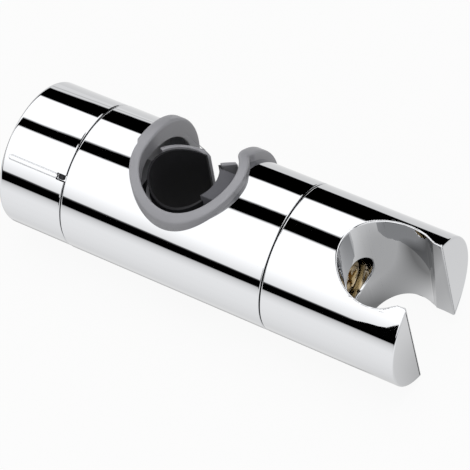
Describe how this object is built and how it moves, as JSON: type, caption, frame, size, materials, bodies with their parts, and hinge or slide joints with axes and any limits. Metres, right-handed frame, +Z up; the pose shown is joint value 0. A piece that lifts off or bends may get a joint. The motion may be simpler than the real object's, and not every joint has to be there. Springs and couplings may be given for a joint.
{
  "type": "shower rail slider",
  "caption": "Chromed barrel that grips an upright shower rail through a back-entry collar, with a clamp knob at one end and a tilting slotted cradle for a hand shower at the other.",
  "frame": {"origin": "on the rail's axis, level with the barrel's axis", "axes": "+Z up along the rail, +X along the barrel towards the cradle, +Y towards the open back of the collar"},
  "size_m": [0.1171, 0.0413, 0.0426],
  "materials": {
    "chrome": "bright plated",
    "grey_plastic": "satin moulded",
    "black_rubber": "matt moulded",
    "white_plastic": "natural moulded",
    "steel": "turned",
    "brass": "turned"
  },
  "bodies": {
    "body": {"body_shell": "chrome", "rail_liner": "grey_plastic", "rail_adaptor": "grey_plastic", "grip_sleeve": "black_rubber", "grip_block": "black_rubber", "screw_guide": "white_plastic", "thrust_washer": "white_plastic", "friction_ring": "black_rubber", "pivot_block": "white_plastic", "pivot_insert": "brass", "friction_disc": "black_rubber", "pivot_screw": "brass", "pivot_washer": "brass", "pivot_spring": "brass"},
    "knob": {"knob_cap": "chrome", "knob_core": "white_plastic", "drive_screw": "steel", "retaining_clip": "steel", "fixing_screw": "steel", "fixing_washer": "steel"},
    "pusher": {"pusher": "grey_plastic", "pusher_nut": "brass", "pusher_pad": "black_rubber"},
    "cradle": {"cradle": "chrome"}
  },
  "joints": [
    {"name": "knob_turn", "type": "hinge", "parent": "body", "child": "knob", "pos_m": [0, 0, 0], "axis": [1, 0, 0], "range_deg": [0, 180]},
    {"name": "pusher_slide", "type": "slide", "parent": "body", "child": "pusher", "axis": [1, 0, 0], "range_m": [-0.00151, 0]},
    {"name": "cradle_tilt", "type": "hinge", "parent": "body", "child": "cradle", "pos_m": [0, 0, 0], "axis": [1, 0, 0], "continuous": true}
  ],
  "couplings": [
    {"joint": "pusher_slide", "follows": "knob_turn", "m_per_rad": -0.00047746}
  ]
}
